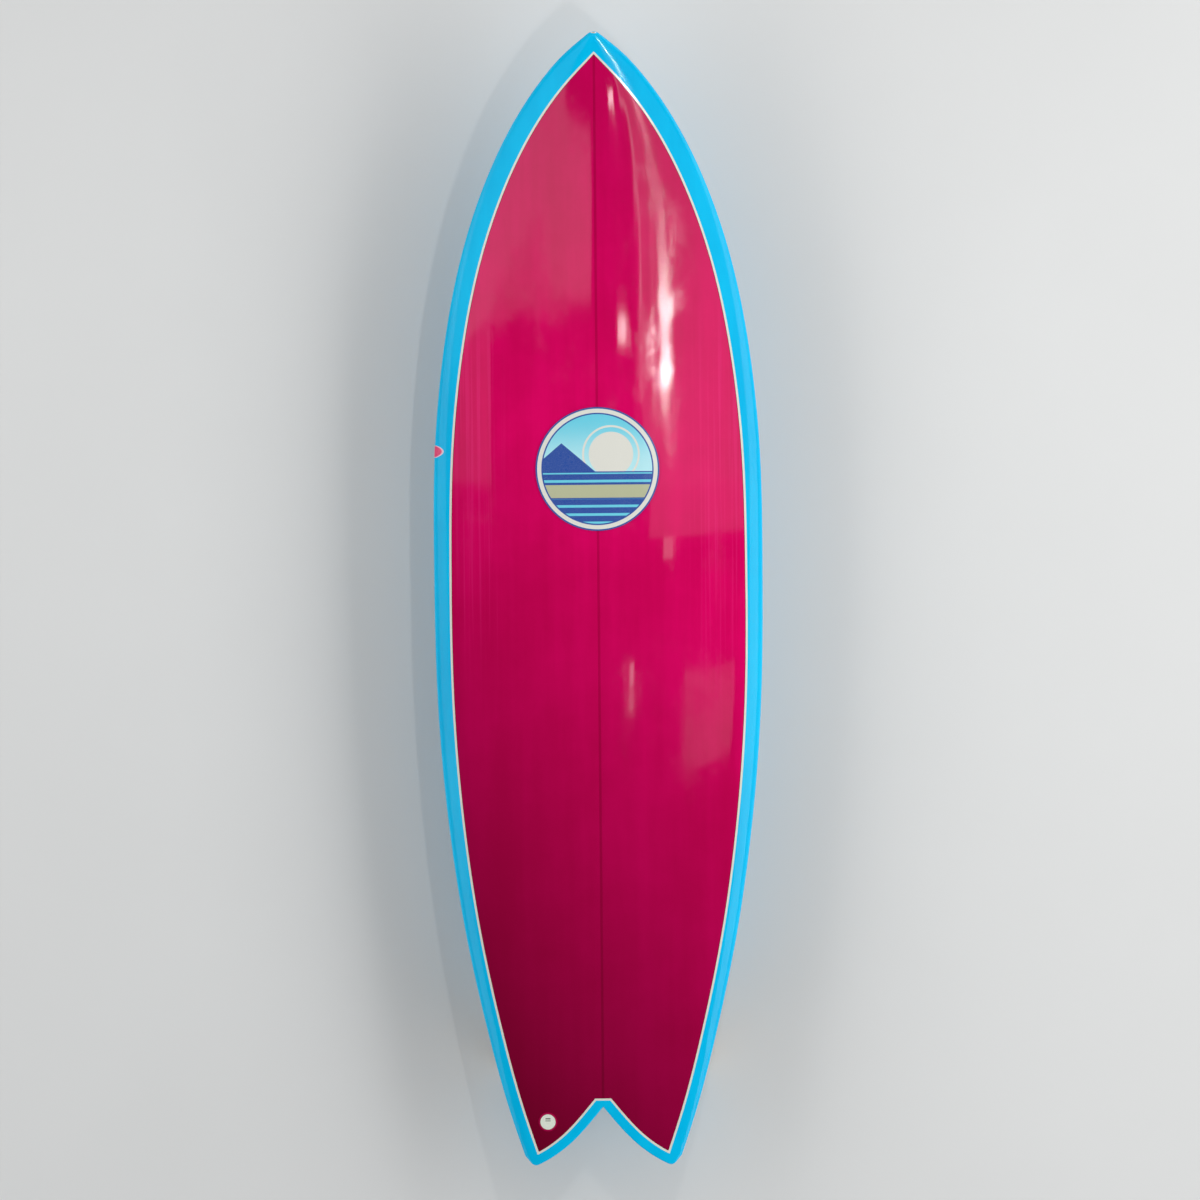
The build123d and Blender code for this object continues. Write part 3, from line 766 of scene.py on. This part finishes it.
feed(tree, shader, Base_Color=inks, Roughness=ramp(tree, cloth["Scuff"], 0, 1, 0.05, 0.15))
relief(tree, shader, cloth["Ripple"], 0.0008, 0.5)
badge_piece = cloth_shell("deck_badge", disc, ["badge"], GLASS, [badge_finish])
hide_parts("deck_emblem")
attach(badge_piece, "board")

# ================================================================ leash plug
# An injection-moulded cup set in a routed pocket with tinted casting resin, crossed by a stainless
# pin for the leash string. A thin push-in cover, white with two printed bars, keeps sand out.
cup_finish, tree, shader = new_finish("plug_plastic_finish", IOR=1.5)
grit = noise(tree, place(tree), 1400.0, 3.0)
feed(tree, shader, Base_Color=blend(tree, grit, (0.30, 0.002, 0.04, 1), (0.40, 0.006, 0.07, 1)),
     Roughness=ramp(tree, grit, 0.3, 0.7, 0.22, 0.38))
relief(tree, shader, grit, 0.00004)
dress(cup_finish, "leash_plug_cup")

potting_finish, tree, shader = new_finish("potting_resin_finish", IOR=1.5)
haze = noise(tree, place(tree), 220.0, 4.0)
feed(tree, shader, Base_Color=blend(tree, haze, (0.36, 0.002, 0.05, 1), (0.52, 0.004, 0.09, 1)),
     Roughness=ramp(tree, haze, 0.3, 0.7, 0.06, 0.16))
relief(tree, shader, haze, 0.0001)
dress(potting_finish, "leash_plug_resin")

steel_finish, tree, shader = new_finish("steel_finish", Metallic=1.0)
turned = noise(tree, stretched(tree, place(tree), 400, 4000, 4000), 1.0, 3.0)
feed(tree, shader, Base_Color=blend(tree, turned, (0.48, 0.48, 0.47, 1), (0.70, 0.70, 0.69, 1)),
     Roughness=ramp(tree, turned, 0.3, 0.7, 0.18, 0.38))
relief(tree, shader, turned, 0.00002)
dress(steel_finish, "leash_plug_pin")

cover_finish, tree, shader = new_finish("cover_plastic_finish", IOR=1.5)
at = add(tree, "SeparateXYZ", {0: place(tree)}).outputs
right = math(tree, "SUBTRACT", at[0], PLUG_X * 0.001)
up = math(tree, "SUBTRACT", at[1], PLUG_Y * 0.001)
grit = noise(tree, place(tree), 500.0, 3.0)
shade = blend(tree, grit, (0.70, 0.74, 0.64, 1), (0.80, 0.84, 0.74, 1))
for middle, wide, tall, dark in ((0.0052, 0.0040, 0.0011, 0.9), (0.0018, 0.0042, 0.0008, 0.75),
                                 (-0.0030, 0.0026, 0.0003, 0.3)):
    printed = math(tree, "MULTIPLY", bar(tree, up, middle, tall), bar(tree, right, 0.0, wide))
    shade = blend(tree, math(tree, "MULTIPLY", printed, dark), shade, (0.10, 0.12, 0.09, 1))
feed(tree, shader, Base_Color=shade, Roughness=ramp(tree, grit, 0.3, 0.7, 0.25, 0.4))
relief(tree, shader, grit, 0.00003)
dress(cover_finish, "leash_plug_cover")

# ================================================================ fin boxes and screws
# Moulded glass-filled nylon boxes bedded in white casting resin, flush with the bottom. Each holds
# its fin's two tabs by stainless grub screws, driven in at a slant with a hex key.
box_finish, tree, shader = new_finish("box_plastic_finish", IOR=1.5)
grit = noise(tree, place(tree), 1600.0, 3.0)
grey = noise(tree, place(tree), 30.0, 3.0)
nylon = blend(tree, grey, (0.68, 0.68, 0.65, 1), (0.80, 0.80, 0.78, 1))
feed(tree, shader, Base_Color=blend(tree, ramp(tree, grit, 0.5, 0.8, 0, 0.3), nylon,
                                    (0.55, 0.55, 0.53, 1)),
     Roughness=ramp(tree, grit, 0.3, 0.7, 0.35, 0.55))
relief(tree, shader, grit, 0.00005)
dress(box_finish, "fin_box_left", "fin_box_right")

bedding_finish, tree, shader = new_finish("bedding_resin_finish", IOR=1.5)
haze = noise(tree, place(tree), 180.0, 4.0)
feed(tree, shader, Base_Color=blend(tree, haze, (0.60, 0.66, 0.66, 1), (0.80, 0.84, 0.84, 1)),
     Roughness=ramp(tree, haze, 0.3, 0.7, 0.08, 0.2))
relief(tree, shader, haze, 0.0001)
dress(bedding_finish, "fin_box_resin_left", "fin_box_resin_right")

screw_finish, tree, shader = new_finish("screw_steel_finish", Metallic=1.0)
cut = noise(tree, place(tree), 2600.0, 4.0)
feed(tree, shader, Base_Color=blend(tree, cut, (0.42, 0.42, 0.41, 1), (0.66, 0.66, 0.65, 1)),
     Roughness=ramp(tree, cut, 0.3, 0.7, 0.22, 0.42))
relief(tree, shader, cut, 0.00002)
dress(screw_finish, "fin_screw_front_left", "fin_screw_front_right",
      "fin_screw_rear_left", "fin_screw_rear_right")

# ================================================================ keel fins
# Five-ply birch, foiled on its outer side and left flat inside, glassed both sides with a clear
# halo of rope and resin beyond the wood. Two tabs of cast glass drop into the box.
FIN_BASE, FIN_DEPTH, FIN_THICKNESS, FIN_EDGE = 160, 128, 9, 1.2
FIN_TIP_AHEAD, FIN_TIP_BACK, FIN_THIN_OUT = 22, 0.65, 0.72
FIN_SWEEP_POWER, FIN_SWEEP_ROUND, FIN_BASE_GAP = 1.35, 0.8, 0.3
HALO, CORE_DEPTH = 9, 0.895
TAB_LENGTH, TAB_THICKNESS, TAB_DEPTH, TAB_SPACING, TAB_CORNER = 25, 6.4, 12.7, 84, 1
FLAT_SIDE = TAB_THICKNESS / 2 + 0.6


def fin_place():
    """The starboard fin's frames: flush on the bottom, and toed in and canted, in millimetres."""
    step = 2.0
    rise = float(bottom_line(FIN_Y + step) - bottom_line(FIN_Y - step)) / (2 * step)
    right, out = Vector((1, 0, 0)), Vector((0, -rise, 1)).normalized()
    flush = Matrix((right, out.cross(right), out)).transposed().to_4x4()
    flush.translation = (FIN_X, FIN_Y, float(bottom_line(FIN_Y)))
    return flush, flush @ Matrix.Rotation(FIN_TOE, 4, "Z") @ Matrix.Rotation(-FIN_CANT, 4, "Y")


def fin_edges(drop):
    tip = FIN_TIP_AHEAD - FIN_BASE / 2
    lead = tip + (FIN_BASE / 2 - tip) * (1 - drop**FIN_SWEEP_POWER) ** FIN_SWEEP_ROUND
    return lead, -FIN_BASE / 2 + FIN_TIP_AHEAD * FIN_TIP_BACK * drop**5


def foil_share(share):
    return 10 * (0.2969 * np.sqrt(share) - 0.1260 * share - 0.3516 * share**2
                 + 0.2843 * share**3 - 0.1036 * share**4)


def blade_grid():
    """Outer and flat sides of the blade, level by level, and which cells lie over the wood."""
    levels = np.r_[np.linspace(-0.06, CORE_DEPTH, 42), np.linspace(CORE_DEPTH, 0.995, 14)[1:]]
    outer, inner = [], []
    for level in levels:
        drop = min(max(level, 0.0), 0.9999)
        lead, trail = fin_edges(drop)
        chord = lead - trail
        wood_from, wood_to = min(HALO / chord, 0.45), max(1 - 1.5 * HALO / chord, 0.55)
        share = np.r_[wood_from * (1 - np.cos(np.linspace(0, pi / 2, 11))),
                      np.linspace(wood_from, wood_to, 31)[1:],
                      np.linspace(wood_to, 1, 9)[1:]]
        round_off = np.sqrt(max(1 - (max(level - 0.94, 0) / 0.055) ** 2, 0))
        thick = FIN_THICKNESS * (1 - FIN_THIN_OUT * drop)
        bulge = (thick * foil_share(share) + FIN_EDGE * share) * round_off
        along, down = lead - chord * share, np.full_like(share, -FIN_DEPTH * level)
        outer.append(np.column_stack([bulge - FLAT_SIDE, along, down]))
        inner.append(np.column_stack([np.full_like(share, -FLAT_SIDE), along, down]))
    wood = np.zeros((len(levels) - 1, len(share) - 1), int) + 1
    wood[:41, 10:40] = 0
    return np.array(outer), np.array(inner), wood


def rounded_prism(width, length, low, high, radius, middle):
    """Upright block with rounded corners: its points and faces."""
    ring = []
    for n, (a, b) in enumerate(((1, 1), (-1, 1), (-1, -1), (1, -1))):
        for turn in np.linspace(0, pi / 2, 6) + n * pi / 2:
            ring.append((a * (width / 2 - radius) + radius * cos(turn),
                         middle + b * (length / 2 - radius) + radius * sin(turn)))
    count = len(ring)
    points = [(x, y, low) for x, y in ring] + [(x, y, high) for x, y in ring]
    faces = [[k, (k + 1) % count, count + (k + 1) % count, count + k] for k in range(count)]
    return points, faces + [list(range(count))[::-1], [count + k for k in range(count)]]


def keel(name, side, materials):
    """One fin: blade, cut to the bottom it stands on, and its two tabs."""
    flush, placed = fin_place()
    outer, inner, wood = blade_grid()
    rows, columns = outer.shape[:2]
    work = bmesh.new()
    rest = [work.verts.new(p) for p in outer.reshape(-1, 3)]
    flat = [work.verts.new(p) for p in inner.reshape(-1, 3)]
    cells = grid_faces(rows, columns)
    for shell in (rest, flat):
        for cell, slot in zip(cells, wood.reshape(-1)):
            work.faces.new([shell[k] for k in cell]).material_index = int(slot)
    last = np.arange(rows) * columns + columns - 1
    for a, b in zip(last, last[1:]):
        work.faces.new([rest[a], rest[b], flat[b], flat[a]]).material_index = 1
    bmesh.ops.remove_doubles(work, verts=work.verts, dist=0.002)
    work.transform(placed)
    plane = flush @ Vector((0, 0, -FIN_BASE_GAP)), flush.to_3x3() @ Vector((0, 0, 1))
    cut = bmesh.ops.bisect_plane(work, geom=work.verts[:] + work.edges[:] + work.faces[:],
                                 plane_co=plane[0], plane_no=plane[1], clear_outer=True)
    rim = [e for e in cut["geom_cut"] if isinstance(e, bmesh.types.BMEdge)]
    for face in bmesh.ops.edgenet_fill(work, edges=rim)["faces"]:
        face.material_index = 1
    for middle in (TAB_SPACING / 2, -TAB_SPACING / 2):
        points, faces = rounded_prism(TAB_THICKNESS, TAB_LENGTH, -2, TAB_DEPTH, TAB_CORNER, middle)
        tab = bmesh.new()
        made = [tab.verts.new(p) for p in points]
        for face in faces:
            tab.faces.new([made[k] for k in face]).material_index = 2
        tab.transform(placed)
        cut = bmesh.ops.bisect_plane(tab, geom=tab.verts[:] + tab.edges[:] + tab.faces[:],
                                     plane_co=plane[0], plane_no=plane[1], clear_inner=True)
        rim = [e for e in cut["geom_cut"] if isinstance(e, bmesh.types.BMEdge)]
        for face in bmesh.ops.edgenet_fill(tab, edges=rim)["faces"]:
            face.material_index = 2
        spare = bpy.data.meshes.new("tab")
        tab.to_mesh(spare)
        work.from_mesh(spare)
        bpy.data.meshes.remove(spare)
        tab.free()
    work.transform(Matrix.Diagonal((0.001 * side, 0.001, 0.001, 1)))
    bmesh.ops.recalc_face_normals(work, faces=work.faces)
    mesh = bpy.data.meshes.new(name)
    work.to_mesh(mesh)
    work.free()
    for material in materials:
        mesh.materials.append(material)
    mesh.polygons.foreach_set("use_smooth", [True] * len(mesh.polygons))
    mesh.set_sharp_from_angle(angle=radians(40))
    piece = bpy.data.objects.new(name, mesh)
    bpy.context.scene.collection.objects.link(piece)
    return piece


# sliced birch in plies that cross each other; foiling cuts through them in long contours
ply_finish, tree, shader = new_finish("birch_ply_finish", IOR=1.5)
flush, placed = fin_place()
through = placed.to_3x3() @ Vector((1, 0, 0))
start = -through.dot(placed.translation) * 0.001 + FLAT_SIDE * 0.001
mirrored = add(tree, "VectorMath", {0: place(tree)}, operation="ABSOLUTE").outputs[0]
one_side = add(tree, "SeparateXYZ", {0: mirrored}).outputs
both = add(tree, "SeparateXYZ", {0: place(tree)}).outputs
height = math(tree, "MULTIPLY_ADD", one_side[0], through[0],
              math(tree, "MULTIPLY_ADD", both[1], through[1],
                   math(tree, "MULTIPLY_ADD", both[2], through[2], start)))
wander = noise(tree, place(tree), 18.0, 3.0)
plies = math(tree, "DIVIDE", math(tree, "MULTIPLY_ADD", wander, 0.0007, height), 0.0032)
crossed = ramp(tree, math(tree, "PINGPONG", plies, 0.5), 0.22, 0.28)
along = noise(tree, stretched(tree, place(tree), 260, 9, 260), 1.0, 5.0, 0.6)
down = noise(tree, stretched(tree, place(tree), 260, 260, 9), 1.0, 5.0, 0.6)
pale = blend(tree, along, (0.40, 0.22, 0.085, 1), (0.66, 0.43, 0.20, 1))
deep = blend(tree, down, (0.30, 0.15, 0.055, 1), (0.54, 0.31, 0.13, 1))
scuff = use(tree, glass_cloth)["Scuff"]
feed(tree, shader, Base_Color=blend(tree, crossed, pale, deep),
     Roughness=ramp(tree, scuff, 0, 1, 0.06, 0.18))
relief(tree, shader, along, 0.00004)

halo_finish, tree, shader = new_finish("fin_halo_glass", IOR=1.5, Transmission_Weight=0.8)
strands = noise(tree, stretched(tree, place(tree), 300, 120, 120), 1.0, 4.0)
feed(tree, shader, Base_Color=blend(tree, strands, (0.62, 0.78, 0.70, 1), (0.86, 0.93, 0.88, 1)),
     Roughness=ramp(tree, strands, 0.3, 0.7, 0.06, 0.2))
relief(tree, shader, strands, 0.00005)

tab_finish, tree, shader = new_finish("fin_tab_cast", IOR=1.5)
cast = noise(tree, place(tree), 240.0, 4.0)
feed(tree, shader, Base_Color=blend(tree, cast, (0.50, 0.60, 0.54, 1), (0.68, 0.76, 0.70, 1)),
     Roughness=ramp(tree, cast, 0.3, 0.7, 0.18, 0.34))
relief(tree, shader, cast, 0.00005)
dress(ply_finish, "keel_core_left", "keel_core_right")
for label, side in (("right", 1), ("left", -1)):
    fin = keel("keel_blade_" + label, side, [ply_finish, halo_finish, tab_finish])
    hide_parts("keel_fin_" + label)
    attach(fin, "keel_" + label)

# ================================================================ rail sticker
# A small round vinyl inspection sticker wrapped round the port rail: pink-red ink with a pale rim
# left by the cutter, slightly lifted and chalky at its edge.
STICKER_Y, STICKER_LIFT = 242, 3
sticker_finish, tree, shader = new_finish("sticker_vinyl", IOR=1.5)
at = add(tree, "SeparateXYZ", {0: place(tree)}).outputs
along = math(tree, "SUBTRACT", at[1], STICKER_Y * 0.001)
up = math(tree, "SUBTRACT", at[2], float(apex_height(STICKER_Y) + STICKER_LIFT) * 0.001)
reach = math(tree, "SQRT", math(tree, "ADD", math(tree, "MULTIPLY", along, along),
                                math(tree, "MULTIPLY", up, up)))
mottled = noise(tree, place(tree), 420.0, 4.0)
ink = blend(tree, mottled, (0.62, 0.02, 0.10, 1), (0.84, 0.06, 0.20, 1))
feed(tree, shader, Base_Color=blend(tree, ramp(tree, reach, 0.0086, 0.0092), ink,
                                    (0.80, 0.52, 0.60, 1)),
     Roughness=ramp(tree, mottled, 0.3, 0.7, 0.25, 0.45))
relief(tree, shader, mottled, 0.00004)
dress(sticker_finish, "rail_sticker")

# ================================================================ floor, lights and camera
# A plain pale floor under the fins. Two soft lights over the forward half leave the middle of the
# deck in its own colour, and a thin tube to starboard draws a bright line in the gloss.
floor_mesh = bpy.data.meshes.new("floor")
FLOOR_SIZE, FLOOR_GAP = 60.0, 0.002
low = cad_box[0][2] - FLOOR_GAP
corners = [(-1, -1), (1, -1), (1, 1), (-1, 1)]
floor_mesh.from_pydata([(a * FLOOR_SIZE, b * FLOOR_SIZE, low) for a, b in corners], [],
                       [(0, 1, 2, 3)])
floor = bpy.data.objects.new("floor", floor_mesh)
bpy.context.scene.collection.objects.link(floor)
floor_finish, tree, shader = new_finish("floor_finish", Specular_IOR_Level=0.2)
mottled = noise(tree, place(tree), 3.0, 3.0)
feed(tree, shader, Base_Color=blend(tree, mottled, (0.70, 0.70, 0.69, 1), (0.73, 0.73, 0.72, 1)),
     Roughness=ramp(tree, mottled, 0, 1, 0.7, 0.8))
floor_mesh.materials.append(floor_finish)


def soft_light(name, middle, wide, long, brightness, tint=(1, 1, 1), aim=None):
    """A rectangular light, unseen itself, facing down or at a point, as bright from any size."""
    lamp = bpy.data.lights.new(name, "AREA")
    lamp.shape, lamp.size, lamp.size_y = "RECTANGLE", wide, long
    lamp.energy, lamp.color = brightness * pi * wide * long, tint
    holder = bpy.data.objects.new(name, lamp)
    holder.location = middle
    if aim is not None:
        holder.rotation_euler = (Vector(aim) - Vector(middle)).to_track_quat("-Z", "Y").to_euler()
    holder.visible_camera = False
    bpy.context.scene.collection.objects.link(holder)
    return holder


LIGHT_LEVEL = 1.8
soft_light("veil_port", (-1.28, 0.67, LIGHT_LEVEL), 2.5, 0.50, 1.0)
soft_light("veil_port_low", (-1.55, 0.31, LIGHT_LEVEL), 1.9, 0.22, 0.35)
soft_light("veil_starboard", (1.28, 0.52, LIGHT_LEVEL), 2.15, 0.64, 0.6)
soft_light("veil_starboard_low", (1.30, 0.31, LIGHT_LEVEL), 2.1, 0.34, 0.5)
soft_light("glow", (0.28, 0.47, LIGHT_LEVEL), 0.18, 0.28, 2.6)
soft_light("glow_low", (0.36, 0.22, LIGHT_LEVEL), 0.10, 0.28, 1.8)
soft_light("tube", (0.325, 0.385, LIGHT_LEVEL), 0.036, 0.12, 240)
soft_light("slit", (0.11, 0.40, LIGHT_LEVEL), 0.020, 0.020, 16)
soft_light("pane", (0.80, -0.27, LIGHT_LEVEL), 0.66, 0.15, 0.6)
soft_light("glint", (0.148, -0.198, LIGHT_LEVEL), 0.03, 0.06, 4)
soft_light("key_starboard", (3.3, 0.1, 2.1), 12, 1.9, 3.0, aim=(0, 0, 0))
soft_light("key_port", (-3.3, 0.1, 2.1), 12, 1.9, 1.6, aim=(0, 0, 0))

world = bpy.data.worlds.new("studio")
bpy.context.scene.world = world
world.use_nodes = True
tree = world.node_tree
level = add(tree, "SeparateXYZ", {0: add(tree, "TexCoord").outputs["Generated"]}).outputs[2]
walls = ramp(tree, level, 0.45, 0.85, 0.62, 0.02)
tree.links.new(walls, tree.nodes["Background"].inputs["Strength"])
tree.nodes["Background"].inputs["Color"].default_value = (0.92, 0.96, 1.0, 1)
bpy.context.scene.view_settings.view_transform = "Standard"

VIEW_HEIGHT, VIEW_WIDTH, VIEW_LEVEL = 12.0, 1.9423, 0.045
SIDE_SHIFT, END_SHIFT, VIEW_ROLL = 0.0022, -0.0008, radians(0.52)
camera_data = bpy.data.cameras.new("camera")
camera_data.sensor_width = 36
camera_data.lens = 36 * VIEW_HEIGHT / VIEW_WIDTH
camera_data.clip_start, camera_data.clip_end = 0.1, 200
camera = bpy.data.objects.new("camera", camera_data)
camera.location = (SIDE_SHIFT, END_SHIFT, VIEW_HEIGHT + VIEW_LEVEL)
camera.rotation_euler = (0, 0, -VIEW_ROLL)
bpy.context.scene.collection.objects.link(camera)
bpy.context.scene.camera = camera
